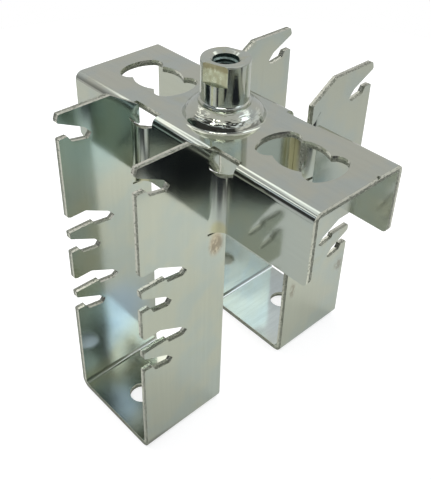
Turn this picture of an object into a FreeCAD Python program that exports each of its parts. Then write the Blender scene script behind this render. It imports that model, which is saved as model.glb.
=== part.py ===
import FreeCAD, Part
import math
import os
from FreeCAD import Vector

# Strut cross connector: an inverted channel that carries a threaded boss, with a deep
# U-bracket welded to each of its sides. X runs along the channel, Y across it, Z is up.
# The origin is midway between the brackets, at the level of their undersides.

# Sheet and strut
sheet = 2.5
strut_gap = 42.0
height_to_top = 128.0

# Channel
channel_length = 132.0
channel_depth = 30.0
fold_inside_radius = 1.0
flange_corner_radius = 2.0
notch_depth = 4.5

# Three-lobed hole at each end of the channel's top
hole_from_middle = 39.8
hole_half_length = 17.3
hole_corner = (14.2, 9.1)
end_lobe_peak = (12.0, 10.2)
cusp = (7.0, 7.7)
middle_lobe_peak = 9.9
cusp_radius = 0.6

# Dome pressed up in the middle of the top
dome_height = 6.1
dome_seat_radius = 10.3
dome_shoulder = (13.4, 4.4)
dome_foot = (15.8, 1.1)
dome_blend = (16.3, 0.35)
dome_outer_radius = 17.6
dome_inside_inset = 1.5

# Threaded boss
boss_radius = 9.5
boss_height = 23.4
boss_bore_radius = 4.25
boss_mouth_radius = 5.5
boss_edge = 0.6
boss_collar = 0.6
boss_collar_height = 1.4
spigot_radius = 7.5
spigot_length = 4.6
spigot_clearance = 0.1
spanner_width = 16.0
spanner_depth = 8.0
spanner_angle = -72.0

# Bracket walls
wall_reach = 60.25
wall_clearance = 3.65
wall_above_top = 11.8
wall_top_length = 23.0
wall_end_clearance = 1.0
slope_end_height = 3.6
web_fold_inside_radius = 1.5
web_hole_radius = 5.25
web_hole_from_edge = 15.1
corner_radius = 0.5

# Bend and tab that carry each wall on the channel's side. The relief above them has facets:
# degrees round the bend, level and slope. Above the relief the wall stays flat up to its end,
# and its lower edge there is given as distances past the start of the bend and levels.
bend_inside_radius = 5.7
tab_length = 0.4
slit = 1.0
relief_facets = ((13, -2.8, -1.35), (32, -5.05, -0.65), (52, -5.8, 0.0), (75, -5.15, 0.45))
lanced_edge = ((0.0, 0.1), (2.5, -3.3))
wall_end_foot = -4.9

# Slots in the walls' outer edges, each measured from its lip, inwards and upwards
short_slot = ((3.8, 0.0), (5.3, -2.6), (12.2, -3.8), (13.8, -1.9), (10.9, 1.4), (0.2, 6.7))
long_slot = ((11.4, 0.0), (12.0, -1.8), (19.2, -2.8), (21.3, -1.2),
             (18.4, 1.9), (8.2, 7.1), (1.4, 7.0), (0.0, 7.6))
top_slot_lip = 1.9
pair_lips = (-39.9, -49.6)
pair_pitch = 30.7
pair_count = 2
tip_chamfer = (0.8, 1.8)

# Values worked out from the sizes above
channel_half_width = strut_gap / 2 + sheet
wall_inside = strut_gap / 2
wall_outside = wall_inside + sheet
wall_pitch = strut_gap + sheet
notch_start = wall_inside - bend_inside_radius - tab_length
notch_end = wall_outside + bend_inside_radius + tab_length
flat_end = channel_half_width + bend_inside_radius
wall_end = channel_half_width + wall_end_clearance
margin = 5.0
most_of_side = 0.45


def lines_and_arcs(points, radius, sharp):
    """Closed outline, with every corner but one rounded as far as its sides allow."""
    edges = []
    starts = []
    ends = []
    count = len(points)
    for i, corner in enumerate(points):
        before = points[i - 1] - corner
        after = points[(i + 1) % count] - corner
        turn = math.pi - before.getAngle(after)
        shorter = min(before.Length, after.Length)
        reach = min(radius * math.tan(turn / 2), most_of_side * shorter)
        first = corner + before.normalize() * reach
        last = corner + after.normalize() * reach
        round_to = reach / math.tan(turn / 2) if turn > 0.01 else 0.0
        if round_to > 0.01 and i != sharp:
            inwards = (before + after).normalize()
            middle = corner + inwards * (round_to / math.cos(turn / 2) - round_to)
            edges.append(Part.Arc(first, middle, last).toShape())
        else:
            first = last = corner
        starts.append(first)
        ends.append(last)
    for i in range(count):
        edges.append(Part.makeLine(ends[i], starts[(i + 1) % count]))
    return Part.Wire(Part.__sortEdges__(edges))


def prism(wire, direction):
    """Solid swept straight from a flat outline."""
    return Part.Face(wire).extrude(direction)


def polygon_xz(points, y):
    """Straight-sided closed outline in an upright plane across Y."""
    corners = [Vector(x, y, z) for x, z in points]
    return Part.makePolygon(corners + corners[:1])


def arc(a, b, c):
    """Arc through three points."""
    return Part.Arc(a, b, c).toShape()


def lobed_hole(middle_x):
    """Cutter for one three-lobed hole, with its cusps rounded."""
    low = height_to_top - sheet - margin

    def at(u, v):
        return Vector(middle_x + u, v, low)

    edges = []
    for side in (-1, 1):
        edges.append(arc(at(side * hole_corner[0], -hole_corner[1]), at(side * hole_half_length, 0),
                         at(side * hole_corner[0], hole_corner[1])))
        edges.append(arc(at(-cusp[0], side * cusp[1]), at(0, side * middle_lobe_peak),
                         at(cusp[0], side * cusp[1])))
        for end in (-1, 1):
            edges.append(arc(at(end * hole_corner[0], side * hole_corner[1]),
                             at(end * end_lobe_peak[0], side * end_lobe_peak[1]),
                             at(end * cusp[0], side * cusp[1])))
    cutter = prism(Part.Wire(Part.__sortEdges__(edges)), Vector(0, 0, sheet + 2 * margin))
    return cutter.makeFillet(cusp_radius, [e for e in cutter.Edges if is_cusp(e, middle_x)])


def is_cusp(edge, middle_x):
    """True for an upright edge that lies at a cusp of the hole."""
    if abs(edge.tangentAt(edge.FirstParameter).z) < 0.99:
        return False
    place = edge.CenterOfMass
    return abs(abs(place.x - middle_x) - cusp[0]) < 0.1 and abs(abs(place.y) - cusp[1]) < 0.1


def dome_section(lift, inset):
    """Points of the dome's upper face, or of its under face when lifted down and set in."""
    def at(pair):
        return Vector(pair[0] - inset, 0, height_to_top + lift + pair[1])
    return [at((dome_seat_radius, dome_height)), at(dome_shoulder), at(dome_foot), at(dome_blend),
            at((dome_outer_radius, 0))]


def dome():
    """Pressed dome as a shell of the sheet's own thickness, with the hole for the spigot."""
    top = dome_section(0, 0)
    under = dome_section(-sheet, dome_inside_inset)
    hole = spigot_radius
    seat = height_to_top + dome_height
    edges = [
        Part.makeLine(Vector(hole, 0, seat), top[0]),
        arc(top[0], top[1], top[2]),
        arc(top[2], top[3], top[4]),
        Part.makeLine(top[4], Vector(top[4].x, 0, under[4].z)),
        Part.makeLine(Vector(top[4].x, 0, under[4].z), under[4]),
        arc(under[4], under[3], under[2]),
        arc(under[2], under[1], under[0]),
        Part.makeLine(under[0], Vector(hole, 0, seat - sheet)),
        Part.makeLine(Vector(hole, 0, seat - sheet), Vector(hole, 0, seat)),
    ]
    return Part.Face(Part.Wire(edges)).revolve(Vector(0, 0, 0), Vector(0, 0, 1), 360)


def channel_section():
    """Upright section of the folded channel, open downwards."""
    half = channel_half_width
    inner = half - sheet
    outer_r = fold_inside_radius + sheet
    top = height_to_top
    low = top - channel_depth
    x = -channel_length / 2
    slant = math.sqrt(0.5)

    def at(y, z):
        return Vector(x, y, z)

    def fold(side, edge, level, radius):
        mid_y = side * (edge - radius + radius * slant)
        mid_z = level - radius + radius * slant
        return arc(at(side * edge, level - radius), at(mid_y, mid_z), at(side * (edge - radius), level))

    edges = [
        Part.makeLine(at(-half, low), at(-half, top - outer_r)),
        fold(-1, half, top, outer_r),
        Part.makeLine(at(-half + outer_r, top), at(half - outer_r, top)),
        fold(1, half, top, outer_r),
        Part.makeLine(at(half, top - outer_r), at(half, low)),
        Part.makeLine(at(half, low), at(inner, low)),
        Part.makeLine(at(inner, low), at(inner, top - sheet - fold_inside_radius)),
        fold(1, inner, top - sheet, fold_inside_radius),
        Part.makeLine(at(inner - fold_inside_radius, top - sheet),
                      at(-inner + fold_inside_radius, top - sheet)),
        fold(-1, inner, top - sheet, fold_inside_radius),
        Part.makeLine(at(-inner, top - sheet - fold_inside_radius), at(-inner, low)),
        Part.makeLine(at(-inner, low), at(-half, low)),
    ]
    return Part.Wire(Part.__sortEdges__(edges))


def round_flange_ends(body):
    """Rounds the lower corners at both ends of both flanges."""
    low = height_to_top - channel_depth
    corners = []
    for edge in body.Edges:
        place = edge.CenterOfMass
        across = abs(edge.tangentAt(edge.FirstParameter).y) > 0.99
        if across and abs(place.z - low) < 0.01 and abs(abs(place.x) - channel_length / 2) < 0.01:
            corners.append(edge)
    return body.makeFillet(flange_corner_radius, corners)


def make_channel():
    body = round_flange_ends(prism(channel_section(), Vector(channel_length, 0, 0)))
    low = height_to_top - sheet
    body = body.cut(Part.makeCylinder(dome_outer_radius, sheet + margin, Vector(0, 0, low)))
    body = body.fuse(dome())
    for end in (-1, 1):
        body = body.cut(lobed_hole(end * hole_from_middle))
    low = height_to_top - channel_depth - margin
    for x in (notch_start, -notch_end):
        for y in (-channel_half_width - margin, channel_half_width - notch_depth):
            body = body.cut(Part.makeBox(notch_end - notch_start, notch_depth + margin,
                                         channel_depth + 2 * margin, Vector(x, y, low)))
    return body.removeSplitter()


def bracket_section():
    """Upright U section of the front bracket, at its outer end."""
    outer_r = web_fold_inside_radius + sheet
    top = height_to_top + wall_above_top
    y = -wall_reach
    slant = 1 - math.sqrt(0.5)

    def at(x, z):
        return Vector(x, y, z)

    def fold(side, edge, level, radius):
        return arc(at(side * edge, level + radius),
                   at(side * (edge - radius * slant), level + radius * slant),
                   at(side * (edge - radius), level))

    small = web_fold_inside_radius
    edges = [
        Part.makeLine(at(-wall_outside, top), at(-wall_outside, outer_r)),
        fold(-1, wall_outside, 0, outer_r),
        Part.makeLine(at(-wall_outside + outer_r, 0), at(wall_outside - outer_r, 0)),
        fold(1, wall_outside, 0, outer_r),
        Part.makeLine(at(wall_outside, outer_r), at(wall_outside, top)),
        Part.makeLine(at(wall_outside, top), at(wall_inside, top)),
        Part.makeLine(at(wall_inside, top), at(wall_inside, sheet + small)),
        fold(1, wall_inside, sheet, small),
        Part.makeLine(at(wall_inside - small, sheet), at(-wall_inside + small, sheet)),
        fold(-1, wall_inside, sheet, small),
        Part.makeLine(at(-wall_inside, sheet + small), at(-wall_inside, top)),
        Part.makeLine(at(-wall_inside, top), at(-wall_outside, top)),
    ]
    return Part.Wire(Part.__sortEdges__(edges))


def slots():
    """Every slot as its lip's level and its shape, from the lowest to the highest."""
    found = [(top_slot_lip, short_slot)]
    for i in range(pair_count):
        found.append((pair_lips[0] - i * pair_pitch, long_slot))
        found.append((pair_lips[1] - i * pair_pitch, short_slot))
    return sorted(found, key=lambda slot: slot[0])


def wall_outline():
    """Side view of a flat wall, from its lower outer corner, and which point starts the bend."""
    points = [(0.0, -height_to_top - margin)]
    for lip, shape in slots():
        points.append((0.0, lip))
        points += [(inwards, lip + upwards) for inwards, upwards in shape]
    last = points[-1]
    points.append((0.0, last[1] + tip_chamfer[0]))
    points.append((tip_chamfer[0], wall_above_top))
    points.append((wall_top_length, wall_above_top))
    points.append((wall_reach - wall_end, slope_end_height))
    points.append((wall_reach - wall_end, wall_end_foot))
    points += [(wall_reach - flat_end + past, level) for past, level in reversed(lanced_edge)]
    bend_start = len(points) - 1
    below_slit = -channel_depth - slit
    free_edge = wall_reach - channel_half_width + wall_clearance
    points.append((wall_reach - flat_end, below_slit))
    points.append((free_edge, below_slit))
    points.append((free_edge, -height_to_top - margin))
    corners = [Vector(-wall_outside - margin, -wall_reach + inwards, height_to_top + level)
               for inwards, level in points]
    return corners, bend_start


def bend_and_tab():
    """The quarter turn and tab of the front right wall, up to the relief's edge."""
    centre = Vector(wall_outside + bend_inside_radius, -flat_end, 0)
    low = height_to_top - channel_depth
    inner = bend_inside_radius
    outer = bend_inside_radius + sheet
    slant = math.sqrt(0.5)

    def at(x, y):
        return centre + Vector(x, y, low)

    edges = [
        arc(at(-inner, 0), at(-inner * slant, inner * slant), at(0, inner)),
        Part.makeLine(at(0, inner), at(tab_length, inner)),
        Part.makeLine(at(tab_length, inner), at(tab_length, outer)),
        Part.makeLine(at(tab_length, outer), at(0, outer)),
        arc(at(0, outer), at(-outer * slant, outer * slant), at(-outer, 0)),
        Part.makeLine(at(-outer, 0), at(-inner, 0)),
    ]
    bend = prism(Part.Wire(edges), Vector(0, 0, channel_depth + margin))
    return bend.cut(relief())


def relief():
    """All that lies above the relief's edge, with each facet square to the sheet."""
    x = wall_inside - margin
    low = height_to_top - 2 * margin
    block = Part.makeBox(notch_end + margin - x, bend_inside_radius + sheet + margin,
                         4 * margin, Vector(x, -flat_end, low))
    middle_radius = bend_inside_radius + sheet / 2
    size = 8 * margin
    for degrees, level, slope in relief_facets:
        turn = math.radians(degrees)
        outwards = Vector(-math.cos(turn), math.sin(turn), 0)
        along = Vector(math.sin(turn), math.cos(turn), slope).normalize()
        upwards = along.cross(outwards)
        place = Vector(wall_outside + bend_inside_radius, -flat_end, height_to_top + level)
        place += outwards * middle_radius
        corner = place - along * size / 2 - outwards * size / 2 - upwards * size
        kept = Part.makeBox(size, size, size)
        kept.Placement = FreeCAD.Placement(corner, FreeCAD.Rotation(along, outwards, upwards, "XYZ"))
        block = block.cut(kept)
    return block


def make_front_bracket():
    free_edge = channel_half_width - wall_clearance
    body = prism(bracket_section(), Vector(0, wall_reach - free_edge, 0))
    corners, bend_start = wall_outline()
    outline = lines_and_arcs(corners, corner_radius, bend_start)
    side = prism(outline, Vector(2 * wall_outside + 2 * margin, 0, 0))
    body = body.common(side)
    bend = bend_and_tab()
    body = body.fuse(bend)
    left = bend.copy()
    left.translate(Vector(-wall_pitch, 0, 0))
    body = body.fuse(left)
    hole_y = -wall_reach + web_hole_from_edge
    body = body.cut(Part.makeCylinder(web_hole_radius, sheet + 2 * margin, Vector(0, hole_y, -margin)))
    return body.removeSplitter()


def make_rear_bracket(front):
    rear = front.copy()
    rear.rotate(Vector(0, 0, 0), Vector(0, 0, 1), 180)
    return rear


def make_boss():
    seat = height_to_top + dome_height
    top = height_to_top + boss_height
    spigot = spigot_radius - spigot_clearance
    low = seat - spigot_length
    mouth = boss_mouth_radius - boss_bore_radius
    points = [
        (boss_bore_radius, low), (spigot, low), (spigot, seat),
        (boss_radius + boss_collar, seat), (boss_radius + boss_collar, seat + boss_collar_height / 2),
        (boss_radius, seat + boss_collar_height), (boss_radius, top - boss_edge),
        (boss_radius - boss_edge, top), (boss_mouth_radius, top), (boss_bore_radius, top - mouth),
    ]
    body = Part.Face(polygon_xz(points, 0)).revolve(Vector(0, 0, 0), Vector(0, 0, 1), 360)
    size = 2 * boss_radius + margin
    for turn in (0, 180):
        flat = Part.makeBox(margin, size, spanner_depth + margin,
                            Vector(spanner_width / 2, -size / 2, top - spanner_depth))
        flat.rotate(Vector(0, 0, 0), Vector(0, 0, 1), spanner_angle + turn)
        body = body.cut(flat)
    return body


os.makedirs("parts", exist_ok=True)
front_bracket = make_front_bracket()
pieces = {
    "channel": make_channel(),
    "front_bracket": front_bracket,
    "rear_bracket": make_rear_bracket(front_bracket),
    "threaded_boss": make_boss(),
}
for name, shape in pieces.items():
    shape.exportStep("parts/" + name + ".step")
    box = shape.BoundBox
    print(name, "solids", len(shape.Solids), "valid", shape.isValid(), "volume", round(shape.Volume, 1),
          "X", round(box.XMin, 2), round(box.XMax, 2), "Y", round(box.YMin, 2), round(box.YMax, 2),
          "Z", round(box.ZMin, 2), round(box.ZMax, 2))
names = list(pieces)
for i, first in enumerate(names):
    for second in names[i + 1:]:
        shared = pieces[first].common(pieces[second]).Volume
        apart = pieces[first].distToShape(pieces[second])[0]
        print(first, second, "overlap", round(shared, 4), "apart", round(apart, 4))
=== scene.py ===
import math
import bpy
from mathutils import Matrix, Vector


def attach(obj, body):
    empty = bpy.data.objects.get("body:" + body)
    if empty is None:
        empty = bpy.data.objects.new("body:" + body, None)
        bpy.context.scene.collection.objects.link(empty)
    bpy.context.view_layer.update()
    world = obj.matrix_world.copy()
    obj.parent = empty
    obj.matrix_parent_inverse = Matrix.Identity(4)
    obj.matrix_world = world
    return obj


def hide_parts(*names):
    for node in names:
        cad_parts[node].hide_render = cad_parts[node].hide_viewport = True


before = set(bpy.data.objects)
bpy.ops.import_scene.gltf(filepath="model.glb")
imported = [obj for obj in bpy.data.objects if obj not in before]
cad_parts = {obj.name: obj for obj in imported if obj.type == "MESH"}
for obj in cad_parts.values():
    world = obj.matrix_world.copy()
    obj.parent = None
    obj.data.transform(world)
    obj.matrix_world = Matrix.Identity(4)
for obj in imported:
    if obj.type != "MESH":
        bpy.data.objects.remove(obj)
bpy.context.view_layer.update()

MM = 0.001

# Sizes of the connector, in millimetres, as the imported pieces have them
SHEET = 2.5
GAP = 42.0
TOP = 128.0
FOLD_INSIDE = 1.0
WEB_FOLD_INSIDE = 1.5
BEND_INSIDE = 5.7
FLANGE_FOOT = 98.0
DOME_RADIUS = 17.6
BOSS_RADIUS = 9.5
BOSS_EDGE = 0.6
BOSS_TOP = 151.4
BOSS_SEAT = 134.1
BOSS_FOOT = 129.5
SPIGOT_RADIUS = 7.4
COLLAR_RADIUS = 10.1
COLLAR_HEIGHT = 1.4
SPANNER_WIDTH = 16.0
SPANNER_DEPTH = 8.0
SPANNER_ANGLE = -72.0

WALL_INSIDE = GAP / 2
HALF_WIDTH = GAP / 2 + SHEET
FLAT_END = HALF_WIDTH + BEND_INSIDE
RIGHT_BEND = WALL_INSIDE + SHEET + BEND_INSIDE
LEFT_BEND = -WALL_INSIDE + BEND_INSIDE

# The lanced cut above each bend: where its slope changes, past the bend's start and from the top
LANCE_TURN = (2.5, -3.3)
LANCE_SLOPE = -0.73

# Small forms that only the visible pieces have, in millimetres and degrees
EDGE_WIDTH = 0.22
EDGE_SEGMENTS = 2
NICK_RADIUS = 1.0
NICK_LENGTH = 2.4
NICK_PLACE = (66.6, 9.6, TOP - 0.1)
NICK_TURN = (0.0, 62.0, 12.0)
BOSS_SIDES = 128
SPIGOT_EDGE = 0.3
COLLAR_SIDE = 0.5
MOUTH_RADIUS = 6.1
MOUTH_DEPTH = 0.8
THREAD_RADIUS = 5.0
THREAD_CREST = 4.3
THREAD_PITCH = 1.5
THREAD_BITE = 0.08
THREAD_START = BOSS_FOOT + 0.4
RIDGE_FILL = 0.88
CREST_FLAT = 0.18
THREAD_TURNS = 13
THREAD_STEPS = 48

# The least angle, in degrees, at which two faces stay apart, are shaded apart, and have the edge
# between them rounded
FLAT_ANGLE = 0.05
SMOOTH_ANGLE = 35
SHARP_ANGLE = 40

# How near counts as on a surface, in millimetres, and which depths count as one side of the sheet
# and as the other
NEAR = 0.1
ONE_SIDE = 0.2
OTHER_SIDE = 0.8

# Places in a list of finishes
FIRST_FINISH = 0
SECOND_FINISH = 1
THIRD_FINISH = 2


# Handling of objects

def only(obj):
    """Leaves one object selected and active."""
    bpy.ops.object.select_all(action="DESELECT")
    obj.select_set(True)
    bpy.context.view_layer.objects.active = obj


def open_for_edit(obj):
    only(obj)
    bpy.ops.object.mode_set(mode="EDIT")
    bpy.ops.mesh.select_mode(type="VERT")


def close_edit():
    bpy.ops.object.mode_set(mode="OBJECT")


def apply_modifier(obj, kind, **settings):
    """Adds a modifier, sets it and applies it."""
    only(obj)
    modifier = obj.modifiers.new(kind.lower(), kind)
    for key, value in settings.items():
        setattr(modifier, key, value)
    bpy.ops.object.modifier_apply(modifier=modifier.name)


def settle(obj):
    """Puts an object's place and turn into its mesh."""
    only(obj)
    bpy.ops.object.transform_apply(location=True, rotation=True, scale=True)


def cut_away(piece, cutter):
    """Takes the cutter's shape out of the piece, and removes the cutter."""
    settle(cutter)
    apply_modifier(piece, "BOOLEAN", operation="DIFFERENCE", object=cutter, solver="EXACT")
    bpy.data.objects.remove(cutter)


def finish_piece(obj, node):
    """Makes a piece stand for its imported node."""
    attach(obj, "root")
    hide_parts(node)


# Shader arithmetic

class Wire:
    """A socket on which arithmetic adds nodes."""

    def __init__(self, finish, socket):
        self.finish = finish
        self.socket = socket

    def __add__(self, other):
        return self.finish.maths("ADD", self, other)

    def __sub__(self, other):
        return self.finish.maths("SUBTRACT", self, other)

    def __rsub__(self, other):
        return self.finish.maths("SUBTRACT", other, self)

    def __mul__(self, other):
        return self.finish.maths("MULTIPLY", self, other)

    __radd__ = __add__
    __rmul__ = __mul__


class Finish:
    """One material, or the world when that is given, built node by node."""

    def __init__(self, name, world=None):
        self.material = world or bpy.data.materials.new(name)
        self.material.use_nodes = True
        self.tree = self.material.node_tree
        self.tree.nodes.clear()
        kind = "World" if world else "Material"
        self.output = self.tree.nodes.new("ShaderNodeOutput" + kind)

    def node(self, kind, settings=None, inputs=None, out=0):
        """Adds one node, sets it first and then its sockets. Gives the output asked for, or a list
        of them where several are asked for."""
        made = self.tree.nodes.new("ShaderNode" + kind)
        for key, value in (settings or {}).items():
            setattr(made, key, value)
        for key, value in (inputs or {}).items():
            if isinstance(value, Wire):
                self.tree.links.new(value.socket, made.inputs[key])
            else:
                made.inputs[key].default_value = value
        if isinstance(out, tuple):
            return [Wire(self, made.outputs[key]) for key in out]
        return Wire(self, made.outputs[out])

    def maths(self, operation, *values):
        return self.node("Math", {"operation": operation}, dict(enumerate(values)))

    def between(self, value, start, end):
        """Goes smoothly from 0 at the start to 1 at the end, whichever of the two is greater."""
        return self.node("MapRange", {"interpolation_type": "SMOOTHSTEP"},
                         {"Value": value, "From Min": start, "From Max": end})

    def mix(self, factor, first, second):
        """Colour between two colours, which are the node's sockets 6 and 7 and its output 2."""
        return self.node("Mix", {"data_type": "RGBA"}, {0: factor, 6: first, 7: second}, 2)

    def vectors(self, operation, *values, out="Vector"):
        return self.node("VectorMath", {"operation": operation}, dict(enumerate(values)), out)

    def scaled(self, vector, factor):
        """A vector or a colour times one number."""
        return self.node("VectorMath", {"operation": "SCALE"}, {0: vector, "Scale": factor})

    def parts(self, vector):
        """The three parts of a vector."""
        return self.node("SeparateXYZ", {}, {0: vector}, ("X", "Y", "Z"))

    def joined(self, x=0.0, y=0.0, z=0.0):
        return self.node("CombineXYZ", {}, {0: x, 1: y, 2: z})

    def place(self):
        """Object coordinates in millimetres."""
        return self.scaled(self.node("TexCoord", out="Object"), 1 / MM)

    def noise(self, vector, detail=2.0, roughness=0.5):
        return self.node("TexNoise", {}, {"Vector": vector, "Scale": 1.0, "Detail": detail,
                                          "Roughness": roughness})

    def grains(self, place, size, detail=2.0, roughness=0.5):
        """Noise whose grains have this size along each axis, in millimetres."""
        stretched = self.vectors("MULTIPLY", place, tuple(1 / length for length in size))
        return self.noise(stretched, detail, roughness)

    def spot(self, place, middle, reach):
        """1 around a point, falling to 0 at the reach along each axis, all in millimetres."""
        offset = self.vectors("SUBTRACT", place, middle)
        distance = self.vectors("LENGTH", self.vectors("DIVIDE", offset, reach), out="Value")
        return 1.0 - self.between(distance, SPOT_CORE, 1.0)

    def bump(self, height, depth):
        """A relief of this depth, in millimetres."""
        return self.node("Bump", {}, {"Distance": depth * MM, "Height": height})

    def end_in(self, shader):
        """Ends the material, or the world, in this shader."""
        self.tree.links.new(shader.socket, self.output.inputs["Surface"])
        return self.material

    def metal(self, colour, roughness, relief):
        """Ends the material in bare metal."""
        shader = self.node("BsdfPrincipled", {}, {"Base Color": colour, "Metallic": 1.0,
                                                  "Roughness": roughness, "Normal": relief})
        return self.end_in(shader)


# Colours of the zinc, of its tints and of its wear, and of painted shade and painted reflections on
# it
ZINC = (0.558, 0.580, 0.490, 1.0)
ZINC_COOL = (0.515, 0.565, 0.515, 1.0)
ZINC_WARM = (0.54, 0.53, 0.34, 1.0)
# Painted reflections on the left wall's inner face
PAINTED_TEAL_REFLECTION = (0.48, 0.62, 0.59, 1.0)
PAINTED_BLUE_REFLECTION = (0.46, 0.59, 0.69, 1.0)
PAINTED_PALE_REFLECTION = (0.70, 0.86, 0.97, 1.0)
ZINC_ICE = (0.53, 0.60, 0.60, 1.0)
ZINC_TAN = (0.60, 0.52, 0.38, 1.0)
# Painted shade on the front bracket's web and under the channel's top plate; the straw colour is
# also a yellow tint
PAINTED_SHADE = (0.36, 0.37, 0.31, 1.0)
PAINTED_DEEP_SHADE = (0.25, 0.26, 0.23, 1.0)
PAINTED_GREY_SHADE = (0.33, 0.39, 0.35, 1.0)
STRAW_TINT_AND_SHADE = (0.30, 0.29, 0.14, 1.0)
STAIN = (0.30, 0.25, 0.19, 1.0)
SHEAR = (0.70, 0.71, 0.61, 1.0)
SHEAR_DARK = (0.17, 0.19, 0.15, 1.0)
BORE = (0.36, 0.47, 0.44, 1.0)
BORE_DARK = (0.17, 0.23, 0.21, 1.0)
MILLED = (0.76, 0.80, 0.58, 1.0)
MILLED_DULL = (0.64, 0.65, 0.43, 1.0)
MILLED_BROWN = (0.36, 0.31, 0.16, 1.0)

# Depth of each finish's relief, in millimetres
SHEET_RELIEF = 0.16
SHEAR_RELIEF = 0.10
TURNED_RELIEF = 0.012
BORE_RELIEF = 0.03
MILLED_RELIEF = 0.05

# Size of each finish's grains along each axis, in millimetres
CHANNEL_LINES = (45.0, 1.2, 1.2)
BRACKET_LINES = (1.2, 1.2, 45.0)
RUBBED = (2.2, 60.0, 4.0)
SHEET_CLOUD = (17.0, 17.0, 17.0)
SHEET_WAVE = (26.0, 26.0, 34.0)
SHEET_SPECK = (0.5, 0.5, 0.5)
STAIN_BLOTCH = (1.4, 1.4, 2.6)
SHEAR_CLOUD = (6.0, 6.0, 6.0)
SHEAR_RAGS = (0.8, 0.8, 0.8)
SHEAR_PITS = (0.35, 0.35, 0.35)
TURNED_CLOUD = (5.0, 5.0, 7.0)
MILLED_MOTTLE = (1.4, 1.4, 1.8)
BORE_MOTTLE = (0.9, 0.9, 0.9)

# Least roughness of each kind of sheet, how strongly a tint, a patch of painted shade or painted
# reflection, or a stain covers the zinc, and the part of its reach in which it is at full strength
CHANNEL_POLISH = 0.055
BRACKET_POLISH = 0.085
PATCH_COVER = 0.9
STAIN_COVER = 0.5
SPOT_CORE = 0.35

# Where the ripples around the dome begin and end, by the distance from its middle and by the
# height, in millimetres
RIPPLES_INNER = (9.8, 11.0)
RIPPLES_OUTER = (16.6, 15.0)
RIPPLES_LEVEL = (TOP - 0.5, TOP + 0.5)

# Tinted patches of the sheets, and patches of painted shade and painted reflection: the middle of
# each, its reach along each axis, and its colour
BEND_FOOT_TINTS = [
    ((x - 4.0, -FLAT_END + 4.0, FLANGE_FOOT + 1.5), (4.4, 4.4, 5.0), ZINC_WARM)
    for x in (RIGHT_BEND, LEFT_BEND)
]
FRONT_TINTS_AND_PAINTED_LIGHT = BEND_FOOT_TINTS + [
    # The teal, blue and pale patches on the left wall's inner face are painted reflections.
    ((-WALL_INSIDE, -42.0, 134.0), (3.0, 40.0, 34.0), PAINTED_TEAL_REFLECTION),
    ((-WALL_INSIDE, -46.0, 33.0), (3.0, 26.0, 24.0), PAINTED_BLUE_REFLECTION),
    ((-WALL_INSIDE, -56.0, 18.0), (3.0, 14.0, 14.0), PAINTED_PALE_REFLECTION),
    # The two dark patches on the bracket's web, between its walls, are painted shade.
    ((0.0, -48.0, SHEET), (34.0, 24.0, 4.0), PAINTED_SHADE),
    ((HALF_WIDTH, -25.0, 92.0), (3.0, 4.5, 8.0), ZINC_TAN),
    ((8.0, -58.0, SHEET), (34.0, 16.0, 4.0), PAINTED_DEEP_SHADE),
]
REAR_TINTS_AND_PAINTED_SHADE = [((-x, -y, z), reach, tone) for (x, y, z), reach, tone in BEND_FOOT_TINTS] + [
    # The straw patch is a yellow tint darkened with painted shade, and the grey patch is painted
    # shade, both under the channel's top plate.
    ((18.0, WALL_INSIDE + 2.0, 110.0), (5.0, 6.0, 24.0), STRAW_TINT_AND_SHADE),
    ((HALF_WIDTH, WALL_INSIDE + 1.5, 108.0), (4.5, 5.0, 18.0), PAINTED_GREY_SHADE),
    ((0.0, 40.0, SHEET), (40.0, 40.0, 4.0), ZINC_ICE),
]
CHANNEL_TINTS_AND_PAINTED_SHADE = [
    # The grey patch is painted shade, and the straw patch a yellow tint darkened with painted shade,
    # both under the channel's top plate.
    ((6.0, WALL_INSIDE, 108.0), (14.0, 3.0, 22.0), PAINTED_GREY_SHADE),
    ((18.0, WALL_INSIDE, 109.0), (7.0, 3.0, 20.0), STRAW_TINT_AND_SHADE),
    ((34.0, WALL_INSIDE, 109.0), (12.0, 3.0, 18.0), ZINC_COOL),
    ((46.0, -HALF_WIDTH, 110.0), (34.0, 4.0, 30.0), ZINC_COOL),
]

# Brown stains of the brackets: the middle of each and its reach along each axis
FRONT_STAINS = [((HALF_WIDTH, -24.5, 91.0), (3.0, 5.0, 6.0))]
REAR_STAINS = [
    ((HALF_WIDTH, 57.0, 35.0), (3.0, 4.0, 5.0)),
    ((HALF_WIDTH, 24.0, 38.0), (3.0, 2.5, 6.0)),
    ((HALF_WIDTH - 0.5, WALL_INSIDE + 1.5, 108.0), (4.0, 5.0, 14.0)),
]


# Finishes

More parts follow.
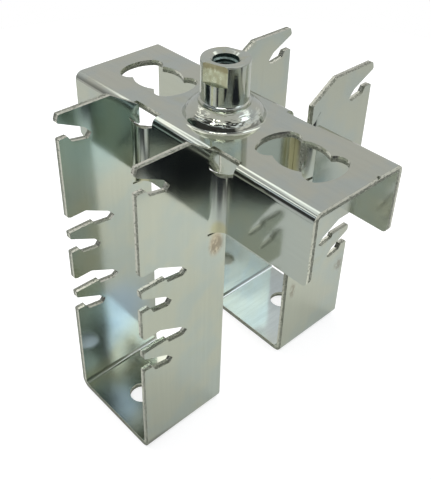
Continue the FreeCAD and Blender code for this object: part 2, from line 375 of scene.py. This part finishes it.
def sheet_finish(name, rolling, polish, tints_and_painted_light, stains=()):
    """Bright zinc on rolled sheet: a soft mirror with faint rolling lines, rubbed on the bracket's
    web, and tinted, stained and painted with shade and reflections at the places given."""
    f = Finish(name)
    place = f.place()
    x, y, z = f.parts(place)
    web = f.between(z, 2 * SHEET, SHEET + 0.5)
    lines = f.grains(place, rolling, detail=3.0, roughness=0.6)
    rubbed = f.grains(place, RUBBED, detail=3.0, roughness=0.6) - 0.5
    cloud = f.grains(place, SHEET_CLOUD, detail=3.0)
    wave = f.grains(place, SHEET_WAVE, detail=1.0)
    speck = f.grains(place, SHEET_SPECK)
    blotch = f.grains(place, STAIN_BLOTCH, detail=3.0)
    colour = f.mix(f.between(cloud, 0.38, 0.62), ZINC, ZINC_COOL)
    colour = f.mix(f.between(cloud, 0.60, 0.78) * 0.3, colour, ZINC_WARM)
    # Some patches in these lists are painted shade, and on the front bracket some are painted
    # reflections, not tints of the zinc.
    for middle, reach, tone in tints_and_painted_light:
        colour = f.mix(f.spot(place, middle, reach) * PATCH_COVER, colour, tone)
    stain = 0.0
    for middle, reach in stains:
        stain = f.maths("MAXIMUM", stain, f.spot(place, middle, reach))
    stain = stain * f.between(blotch, 0.36, 0.52)
    colour = f.mix(stain * STAIN_COVER, colour, STAIN)
    shade = f.between(lines, 0.3, 0.7) * 0.03 + 0.985 + rubbed * web * 0.3
    roughness = f.between(cloud, 0.3, 0.7) * 0.05 + lines * 0.04 + polish + stain * 0.25
    height = wave + lines * 0.004 + speck * 0.004 + drawn_ripples(f, x, y, z) * 1.2
    return f.metal(f.scaled(colour, shade), roughness, f.bump(height, SHEET_RELIEF))


def drawn_ripples(f, x, y, z):
    """Fine ripples around the dome, where the sheet was drawn up."""
    radius = f.vectors("LENGTH", f.joined(x, y), out="Value")
    drawn = f.between(radius, *RIPPLES_OUTER) * f.between(radius, *RIPPLES_INNER)
    drawn = drawn * f.between(z, *RIPPLES_LEVEL)
    return f.noise(f.joined(x * 0.3, y * 0.3, radius * 1.5), detail=1.0) * drawn


def sheared_finish():
    """Cut edge of the sheet: a burnished band on one side and a torn band on the other."""
    f = Finish("sheared_edge")
    place = f.place()
    through = f.node("Attribute", {"attribute_name": "through"}, out="Fac")
    ragged = f.grains(place, SHEAR_RAGS, detail=3.0)
    pits = f.grains(place, SHEAR_PITS, detail=3.0)
    cloud = f.grains(place, SHEAR_CLOUD)
    torn = f.between(through + ragged * 0.45, 0.64, 0.74)
    speck = f.between(ragged, 0.56, 0.64) * 0.8
    dark = f.maths("MAXIMUM", torn * f.between(pits, 0.30, 0.62), speck)
    colour = f.mix(dark, SHEAR, SHEAR_DARK)
    colour = f.mix(f.between(cloud, 0.5, 0.7) * 0.4, colour, ZINC)
    roughness = torn * 0.24 + pits * 0.12 + 0.18
    return f.metal(colour, roughness, f.bump(pits * torn, SHEAR_RELIEF))


def boss_finish():
    """Bright zinc on a turned boss: nearly a mirror, with faint turning rings."""
    f = Finish("zinc_turned")
    place = f.place()
    x, y, z = f.parts(place)
    radius = f.vectors("LENGTH", f.joined(x, y), out="Value")
    rings = f.noise(f.joined(radius * 3.0, z * 3.0))
    cloud = f.grains(place, TURNED_CLOUD)
    above_flats = f.between(z, BOSS_TOP - SPANNER_DEPTH - 0.4, BOSS_TOP - SPANNER_DEPTH)
    colour = f.mix(f.between(cloud, 0.4, 0.65), ZINC, ZINC_COOL)
    colour = f.mix(f.between(cloud, 0.55, 0.75) * above_flats * 0.5, colour, ZINC_WARM)
    roughness = cloud * 0.08 + rings * 0.06 + 0.06
    return f.metal(colour, roughness, f.bump(rings + cloud * 2.0, TURNED_RELIEF))


def spanner_flat_finish():
    """Milled flats of the boss: duller and warmer, and browned along their top edge."""
    f = Finish("milled_flat")
    place = f.place()
    height = f.parts(place)[2]
    mottle = f.grains(place, MILLED_MOTTLE, detail=4.0)
    colour = f.mix(f.between(mottle, 0.35, 0.65), MILLED, MILLED_DULL)
    brown = f.between(mottle * 2.4 + height, BOSS_TOP - 1.6, BOSS_TOP - 0.4)
    colour = f.mix(brown * 0.7, colour, MILLED_BROWN)
    return f.metal(colour, mottle * 0.2 + 0.20, f.bump(mottle, MILLED_RELIEF))


def bore_finish():
    """Dark, dull zinc down in the threaded bore."""
    f = Finish("bore_zinc")
    mottle = f.grains(f.place(), BORE_MOTTLE, detail=3.0)
    colour = f.mix(f.between(mottle, 0.40, 0.8), BORE_DARK, BORE)
    return f.metal(colour, mottle * 0.2 + 0.22, f.bump(mottle, BORE_RELIEF))


# Pieces of folded sheet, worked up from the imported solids

def channel_depth(x, y, z):
    """How far through the channel's sheet a point lies: 0 outside, 1 inside."""
    outer = FOLD_INSIDE + SHEET
    axis_y = HALF_WIDTH - outer
    axis_z = TOP - outer
    side = abs(y)
    if z > axis_z and side > axis_y:
        return (outer - math.hypot(side - axis_y, z - axis_z)) / SHEET
    if z <= axis_z:
        return (HALF_WIDTH - side) / SHEET
    return (TOP - z) / SHEET


def lance_level(past):
    """Height of the lanced cut above the channel's top, by the distance past the bend's start."""
    if past < LANCE_TURN[0]:
        return past / LANCE_TURN[0] * LANCE_TURN[1]
    return LANCE_TURN[1] + (past - LANCE_TURN[0]) * LANCE_SLOPE


def bracket_depth(x, y, z):
    """How far through the front bracket's sheet a point lies: 0 inside the U, 1 outside."""
    past = y + FLAT_END
    in_wall = WALL_INSIDE - NEAR < abs(x) < HALF_WIDTH + NEAR
    flat_end = in_wall and z > TOP + lance_level(past)
    if past > 0 and z > FLANGE_FOOT - 2 * NEAR and not flat_end:
        axis = RIGHT_BEND if x > 0 else LEFT_BEND
        depth = (math.hypot(x - axis, past) - BEND_INSIDE) / SHEET
        if x > axis:
            depth = (y + HALF_WIDTH) / SHEET
        return 1 - depth if x > 0 else depth
    outer = WEB_FOLD_INSIDE + SHEET
    axis_x = WALL_INSIDE + SHEET - outer
    side = abs(x)
    if z >= outer:
        return (side - WALL_INSIDE) / SHEET
    if side <= axis_x:
        return (SHEET - z) / SHEET
    return (math.hypot(side - axis_x, z - outer) - WEB_FOLD_INSIDE) / SHEET


def rear_bracket_depth(x, y, z):
    return bracket_depth(-x, -y, z)


def worked_sheet(node, name, depth_of, finishes):
    """A joined and edge-rounded copy of a sheet piece, with its cut edges marked."""
    piece = bpy.data.objects.new(name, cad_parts[node].data.copy())
    bpy.context.scene.collection.objects.link(piece)
    open_for_edit(piece)
    bpy.ops.mesh.select_all(action="SELECT")
    bpy.ops.mesh.remove_doubles(threshold=0.002 * MM)
    bpy.ops.mesh.dissolve_limited(angle_limit=math.radians(FLAT_ANGLE))
    close_edit()
    piece.data.materials.clear()
    for finish in finishes:
        piece.data.materials.append(finish)
    if node == "channel":
        nick_end(piece)
    mark_cut_edges(piece, depth_of)
    round_edges(piece)
    store_depth(piece, depth_of)
    smooth(piece)
    return piece


def nick_end(piece):
    """A small nick in the top edge of the channel's right end."""
    bpy.ops.object.select_all(action="DESELECT")
    bpy.ops.mesh.primitive_cylinder_add(
        vertices=12, radius=NICK_RADIUS * MM, depth=NICK_LENGTH * MM,
        location=[place * MM for place in NICK_PLACE],
        rotation=[math.radians(turn) for turn in NICK_TURN])
    cut_away(piece, bpy.context.object)


def mark_cut_edges(piece, depth_of):
    """Faces that reach from one side of the sheet to the other get the second finish, but not the
    sloping faces of the dome."""
    points = [vertex.co / MM for vertex in piece.data.vertices]
    for face in piece.data.polygons:
        corners = [points[i] for i in face.vertices]
        depths = [depth_of(*corner) for corner in corners]
        cut = min(depths) < ONE_SIDE and max(depths) > OTHER_SIDE
        near_dome = any(corner.xy.length < DOME_RADIUS + NEAR and corner.z > TOP - 3 * SHEET
                        for corner in corners)
        if near_dome and abs(face.center.y) < DOME_RADIUS * MM:
            cut = False
        face.material_index = SECOND_FINISH if cut else FIRST_FINISH


def round_edges(piece):
    """Rounds every sharp edge by a small width."""
    open_for_edit(piece)
    bpy.ops.mesh.select_mode(type="EDGE")
    bpy.ops.mesh.select_all(action="DESELECT")
    bpy.ops.mesh.edges_select_sharp(sharpness=math.radians(SHARP_ANGLE))
    bpy.ops.mesh.bevel(offset=EDGE_WIDTH * MM, segments=EDGE_SEGMENTS, affect="EDGES",
                       clamp_overlap=True, material=FIRST_FINISH)
    close_edit()


def store_depth(piece, depth_of):
    """Keeps each point's depth through the sheet for the cut edge's finish."""
    attribute = piece.data.attributes.new("through", "FLOAT", "POINT")
    for vertex, depth in zip(piece.data.vertices, attribute.data):
        depth.value = depth_of(*(vertex.co / MM))


def smooth(piece):
    only(piece)
    bpy.ops.object.shade_smooth_by_angle(angle=math.radians(SMOOTH_ANGLE))
    apply_modifier(piece, "WEIGHTED_NORMAL", keep_sharp=True, weight=80)


# The boss, turned, flatted and threaded

def turned(name, profile):
    """A closed ring turned about Z: one circle drawn along the profile and joined to itself."""
    radius, level = profile[0]
    bpy.ops.object.select_all(action="DESELECT")
    bpy.ops.mesh.primitive_circle_add(vertices=BOSS_SIDES, radius=radius * MM,
                                      location=(0, 0, level * MM))
    piece = bpy.context.object
    piece.name = name
    settle(piece)
    open_for_edit(piece)
    bpy.ops.mesh.select_all(action="SELECT")
    for next_radius, next_level in profile[1:]:
        rise = (0, 0, (next_level - level) * MM)
        bpy.ops.mesh.extrude_edges_move(TRANSFORM_OT_translate={"value": rise})
        ratio = next_radius / radius
        bpy.ops.transform.resize(value=(ratio, ratio, 1), center_override=(0, 0, 0))
        radius, level = next_radius, next_level
    bpy.ops.mesh.select_non_manifold(extend=False)
    bpy.ops.mesh.bridge_edge_loops()
    bpy.ops.mesh.select_all(action="SELECT")
    bpy.ops.mesh.normals_make_consistent(inside=False)
    close_edit()
    return piece


def cut_flats(piece):
    """Mills the two spanner flats down from the top."""
    size = 3 * BOSS_RADIUS
    out = (SPANNER_WIDTH + size) / 2
    for turn in (0, 180):
        angle = math.radians(SPANNER_ANGLE + turn)
        bpy.ops.object.select_all(action="DESELECT")
        bpy.ops.mesh.primitive_cube_add(
            size=1, rotation=(0, 0, angle),
            location=(out * math.cos(angle) * MM, out * math.sin(angle) * MM,
                      (BOSS_TOP - SPANNER_DEPTH + size / 2) * MM))
        cutter = bpy.context.object
        cutter.scale = (size * MM, size * MM, size * MM)
        cut_away(piece, cutter)


def mark_flats(piece):
    """Gives the milled faces and the bore their own finishes."""
    angle = math.radians(SPANNER_ANGLE)
    normal = Vector((math.cos(angle), math.sin(angle), 0))
    least_offset = (SPANNER_WIDTH / 2 - NEAR) * MM
    for face in piece.data.polygons:
        milled = abs(face.normal.dot(normal)) > 0.999 and abs(face.center.dot(normal)) > least_offset
        face.material_index = SECOND_FINISH if milled else FIRST_FINISH
        corners = [piece.data.vertices[i].co for i in face.vertices]
        if max(corner.xy.length for corner in corners) < (THREAD_RADIUS + NEAR) * MM:
            face.material_index = THIRD_FINISH


def thread_ridge():
    """The thread inside the boss: the section of one ridge, wound upwards."""
    root = THREAD_RADIUS + THREAD_BITE
    middle = (root + THREAD_CREST) / 2 * MM
    bpy.ops.object.select_all(action="DESELECT")
    bpy.ops.mesh.primitive_plane_add(size=1, rotation=(math.pi / 2, 0, 0),
                                     location=(middle, 0, THREAD_START * MM))
    ridge = bpy.context.object
    ridge.name = "boss_thread"
    ridge.scale = ((root - THREAD_CREST) * MM, THREAD_PITCH * RIDGE_FILL * MM, 1)
    settle(ridge)
    for vertex in ridge.data.vertices:
        vertex.select = vertex.co.x < middle
    for item in list(ridge.data.edges) + list(ridge.data.polygons):
        item.select = False
    open_for_edit(ridge)
    bpy.ops.transform.resize(value=(1, 1, CREST_FLAT), center_override=(0, 0, THREAD_START * MM))
    bpy.ops.mesh.select_all(action="SELECT")
    bpy.ops.mesh.delete(type="ONLY_FACE")
    close_edit()
    apply_modifier(ridge, "SCREW", axis="Z", angle=2 * math.pi, screw_offset=THREAD_PITCH * MM,
                   iterations=THREAD_TURNS, steps=THREAD_STEPS, render_steps=THREAD_STEPS)
    open_for_edit(ridge)
    bpy.ops.mesh.select_all(action="SELECT")
    bpy.ops.mesh.fill_holes(sides=4)
    bpy.ops.mesh.normals_make_consistent(inside=False)
    close_edit()
    return ridge


def make_boss(turned_zinc, milled, bore):
    """The boss and its thread. The profile runs from the bore's foot out and up, and back inwards
    over the top to the bore. The small numbers in it round its corners."""
    profile = [
        (THREAD_RADIUS, BOSS_FOOT),
        (SPIGOT_RADIUS - SPIGOT_EDGE, BOSS_FOOT),
        (SPIGOT_RADIUS, BOSS_FOOT + SPIGOT_EDGE),
        (SPIGOT_RADIUS, BOSS_SEAT),
        (COLLAR_RADIUS, BOSS_SEAT),
        (COLLAR_RADIUS, BOSS_SEAT + COLLAR_SIDE),
        (COLLAR_RADIUS - 0.12, BOSS_SEAT + 0.85),
        (COLLAR_RADIUS - 0.4, BOSS_SEAT + COLLAR_HEIGHT - 0.2),
        (BOSS_RADIUS, BOSS_SEAT + COLLAR_HEIGHT),
        (BOSS_RADIUS, BOSS_TOP - BOSS_EDGE),
        (BOSS_RADIUS - 0.18, BOSS_TOP - 0.18),
        (BOSS_RADIUS - BOSS_EDGE, BOSS_TOP),
        (MOUTH_RADIUS + 0.15, BOSS_TOP),
        (MOUTH_RADIUS, BOSS_TOP - 0.1),
        (THREAD_RADIUS, BOSS_TOP - MOUTH_DEPTH),
    ]
    boss = turned("boss_body", profile)
    for finish in (turned_zinc, milled, bore):
        boss.data.materials.append(finish)
    cut_flats(boss)
    mark_flats(boss)
    smooth(boss)
    finish_piece(boss, "threaded_boss")
    ridge = thread_ridge()
    ridge.data.materials.append(bore)
    smooth(ridge)
    finish_piece(ridge, "threaded_boss")


# Camera: the place, turn and lens that put the object where the photo has it
CAMERA_PLACE = (0.1766, -0.1720, 0.2654)
CAMERA_AZIMUTH = 46.435
CAMERA_ELEVATION = 35.13
CAMERA_ROLL = 1.57
CAMERA_LENS = 55.03
CAMERA_SHIFT = (0.0023, -0.1042)


def place_camera():
    data = bpy.data.cameras.new("camera")
    data.lens = CAMERA_LENS
    data.sensor_width = 36.0
    data.shift_x, data.shift_y = CAMERA_SHIFT
    data.clip_start = 0.01
    camera = bpy.data.objects.new("camera", data)
    azimuth = math.radians(CAMERA_AZIMUTH)
    elevation = math.radians(CAMERA_ELEVATION)
    back = Vector((math.sin(azimuth) * math.cos(elevation),
                   -math.cos(azimuth) * math.cos(elevation),
                   math.sin(elevation)))
    right = Vector((math.cos(azimuth), math.sin(azimuth), 0))
    up = back.cross(right)
    level = Matrix((right, up, back)).transposed().to_4x4()
    camera.matrix_world = (Matrix.Translation(CAMERA_PLACE) @ level
                           @ Matrix.Rotation(math.radians(CAMERA_ROLL), 4, "Z"))
    bpy.context.scene.collection.objects.link(camera)
    bpy.context.scene.camera = camera


# The room that the metal mirrors. A zone comes in between two bounds, each a part of a direction
# whose length is 1: upwards, towards the camera's side, or to its right. A level is its brightness,
# and a drop is what it takes from the ceiling's.
DARK_LEVEL = 0.05
GROUND_HEIGHT = (0.0, -0.05)
BACK_DEPTH = (-0.35, 0.12)
BACK_LEVEL = 0.58
RIGHT_SIDE = (0.40, 0.75)
RIGHT_LEVEL = 0.33
LOW_BAND_FOOT = (0.08, 0.25)
LOW_BAND_HEAD = (0.50, 0.40)
LOW_BAND_LEVEL = 0.9
FRONT_BAND_FOOT = (0.46, 0.50)
FRONT_BAND_HEAD = (0.60, 0.56)
FRONT_BAND_DEPTH = (-0.20, -0.05)
FRONT_BAND_LEVEL = 1.1
WINDOW = (0.535, 0.465, 0.705)
WINDOW_EDGE = (0.955, 0.980)
WINDOW_SILL = (0.60, 0.70)
WINDOW_LEVEL = 2.4
CEILING_START = 0.66
CEILING_TILT = 0.40
CEILING_EDGE = (-0.04, 0.05)
CEILING_LEVEL = 1.75
BEAM_FOOT = (0.745, 0.765)
BEAM_HEAD = (0.86, 0.84)
BEAM_SIDE = (-0.2, -0.35)
BEAM_DROP = 0.75
ZENITH_HEIGHT = (0.82, 0.92)
ZENITH_SIDE = (-0.12, -0.02)
ZENITH_EARLY = 0.06
ZENITH_DROP = 0.62
FAR_DEPTH = (-0.45, -0.65)
FAR_SIDE = (-0.06, 0.04)
FAR_DROP = 0.5
ROOM_TINT = (0.98, 0.965, 0.985, 1.0)
CEILING_TINT = (1.0, 0.99, 0.98, 1.0)
WINDOW_TINT = (0.93, 0.98, 1.08, 1.0)
WHITE = (1.0, 1.0, 1.0, 1.0)


def set_world():
    """White to the camera. To the metal, a room: dark behind the camera but for one bright band,
    grey behind the object and at the right, with a low bright band and a window at the right, and a
    bright ceiling that is darker along a beam, in its middle and at the far right."""
    world = bpy.data.worlds.new("studio")
    bpy.context.scene.world = world
    f = Finish("studio", world)
    direction = f.node("TexCoord", out="Generated")
    x, y, z = f.parts(direction)
    azimuth = math.radians(CAMERA_AZIMUTH)
    towards = x * math.sin(azimuth) - y * math.cos(azimuth)
    rightwards = x * math.cos(azimuth) + y * math.sin(azimuth)

    back = 1.0 - f.between(towards, *BACK_DEPTH)
    ground = f.between(z, *GROUND_HEIGHT)
    right = f.between(rightwards, *RIGHT_SIDE)
    low_band = right * f.between(z, *LOW_BAND_FOOT) * f.between(z, *LOW_BAND_HEAD)
    front_band = f.between(z, *FRONT_BAND_FOOT) * f.between(z, *FRONT_BAND_HEAD)
    front_band = front_band * f.between(towards, *FRONT_BAND_DEPTH)
    facing = f.vectors("DOT_PRODUCT", direction, WINDOW, out="Value")
    window = f.between(facing, *WINDOW_EDGE) * f.between(z, *WINDOW_SILL)

    beam = f.between(z, *BEAM_FOOT) * f.between(z, *BEAM_HEAD) * f.between(rightwards, *BEAM_SIDE)
    early = f.between(rightwards, *ZENITH_SIDE) * ZENITH_EARLY
    zenith = f.between(z + early, *ZENITH_HEIGHT)
    far = f.between(towards, *FAR_DEPTH) * f.between(rightwards, *FAR_SIDE)
    ceiling_foot = f.maths("MAXIMUM", towards, 0.0) * CEILING_TILT + CEILING_START
    ceiling = f.between(z - ceiling_foot, *CEILING_EDGE)
    for part, drop in ((beam, BEAM_DROP), (zenith, ZENITH_DROP), (far, FAR_DROP)):
        ceiling = ceiling * (1.0 - part * drop)

    level = back * BACK_LEVEL + DARK_LEVEL
    levels = ((low_band, LOW_BAND_LEVEL), (right, RIGHT_LEVEL), (ceiling, CEILING_LEVEL),
              (ground, BACK_LEVEL), (window, WINDOW_LEVEL), (front_band, FRONT_BAND_LEVEL))
    for part, brightness in levels:
        level = f.maths("MAXIMUM", level, part * brightness)
    tone = f.mix(ceiling, ROOM_TINT, CEILING_TINT)
    tone = f.mix(f.maths("MAXIMUM", window, front_band), tone, WINDOW_TINT)
    studio = f.node("Background", {}, {"Color": f.scaled(tone, level)})
    white = f.node("Background", {}, {"Color": WHITE})
    seen = f.node("LightPath", out="Is Camera Ray")
    f.end_in(f.node("MixShader", {}, {0: seen, 1: studio, 2: white}))


# The paper that the object stands on: its size and level in metres, its colours, and how it glows
# in the metal. Places on it and bounds between which it comes in or ends are in millimetres.
PAPER_RADIUS = 0.42
PAPER_LEVEL = -0.0002
PAPER = (0.5, 0.5, 0.5, 1.0)
PAPER_SEEN = (0.73, 0.73, 0.73, 1.0)
PAPER_PAST = (0.012, 0.014, 0.020, 1.0)
GLOW_TINT = (1.0, 1.04, 0.94)
GLOW = 0.18
GLOW_RIGHT = 0.25
GLOW_PLACE = (120.0, 15.0, 0.0)
GLOW_REACH = (140.0, 140.0, 140.0)
FRONT = (0.707, -0.707, 0.0)
FRONT_END = (180.0, 188.0)
SIDE_END = (168.0, 194.0)
SIDE_START = (45.0, 70.0)
CORNER_SIDE = (60.0, 20.0)
CORNER_START = (196.0, 206.0)


def floor_finish():
    """White paper that keeps the object's shadow. In the metal it is brightest at the right, and it
    ends a short way in front and at the sides, but not in the left front corner."""
    f = Finish("white_paper")
    place = f.place()
    x, y, z = f.parts(place)
    seen, mirrored = f.node("LightPath", out=("Is Camera Ray", "Is Glossy Ray"))
    ahead = f.vectors("DOT_PRODUCT", place, FRONT, out="Value")
    left = 0.0 - y
    sides = f.between(f.maths("MAXIMUM", x, left), *SIDE_END) * f.between(ahead, *SIDE_START)
    corner = f.between(x, *CORNER_SIDE) * f.between(left, *CORNER_START)
    past = f.maths("MAXIMUM", f.between(ahead, *FRONT_END), sides) * (1.0 - corner) * mirrored
    bright = f.spot(place, GLOW_PLACE, GLOW_REACH) * GLOW_RIGHT + GLOW
    bright = mirrored * bright * (1.0 - past)
    colour = f.mix(seen, f.scaled(GLOW_TINT, bright), PAPER_SEEN)
    paper = f.node("BsdfDiffuse", {}, {"Color": f.mix(past, PAPER, PAPER_PAST)})
    glow = f.node("Emission", {}, {"Color": colour})
    return f.end_in(f.node("AddShader", {}, {0: paper, 1: glow}))


def lay_floor():
    bpy.ops.object.select_all(action="DESELECT")
    bpy.ops.mesh.primitive_circle_add(vertices=96, radius=PAPER_RADIUS, fill_type="NGON",
                                      location=(0, 0, PAPER_LEVEL))
    floor = bpy.context.object
    floor.name = "floor"
    settle(floor)
    floor.data.materials.append(floor_finish())


LAMP_AIM = Vector((0, 0, 0.1))


def area_light(name, place, size, power, mirrored=True):
    """A lamp turned towards the object, in metres and watts. One that isn't mirrored leaves no
    bright patch in the metal."""
    data = bpy.data.lights.new(name, "AREA")
    data.shape = "RECTANGLE"
    data.size, data.size_y = size
    data.energy = power
    lamp = bpy.data.objects.new(name, data)
    lamp.visible_glossy = mirrored
    lamp.location = place
    lamp.rotation_euler = (LAMP_AIM - Vector(place)).to_track_quat("-Z", "Y").to_euler()
    bpy.context.scene.collection.objects.link(lamp)


# Making of the whole

place_camera()
sheared = sheared_finish()
channel_zinc = sheet_finish("zinc_channel", CHANNEL_LINES, CHANNEL_POLISH, CHANNEL_TINTS_AND_PAINTED_SHADE)
front_zinc = sheet_finish("zinc_front_bracket", BRACKET_LINES, BRACKET_POLISH,
                          FRONT_TINTS_AND_PAINTED_LIGHT, FRONT_STAINS)
rear_zinc = sheet_finish("zinc_rear_bracket", BRACKET_LINES, BRACKET_POLISH,
                         REAR_TINTS_AND_PAINTED_SHADE, REAR_STAINS)

SHEETS = (
    ("channel", "channel_sheet", channel_depth, channel_zinc),
    ("front_bracket", "front_bracket_sheet", bracket_depth, front_zinc),
    ("rear_bracket", "rear_bracket_sheet", rear_bracket_depth, rear_zinc),
)
for node, name, depth_of, zinc in SHEETS:
    piece = worked_sheet(node, name, depth_of, (zinc, sheared))
    finish_piece(piece, node)
make_boss(boss_finish(), spanner_flat_finish(), bore_finish())

set_world()
lay_floor()
area_light("key", (-0.5, 0.1, 0.7), (0.55, 0.55), 3.4, mirrored=False)
area_light("front_strip", (0.25, -0.45, 0.75), (0.5, 0.045), 0.9)
bpy.context.scene.view_settings.view_transform = "Standard"
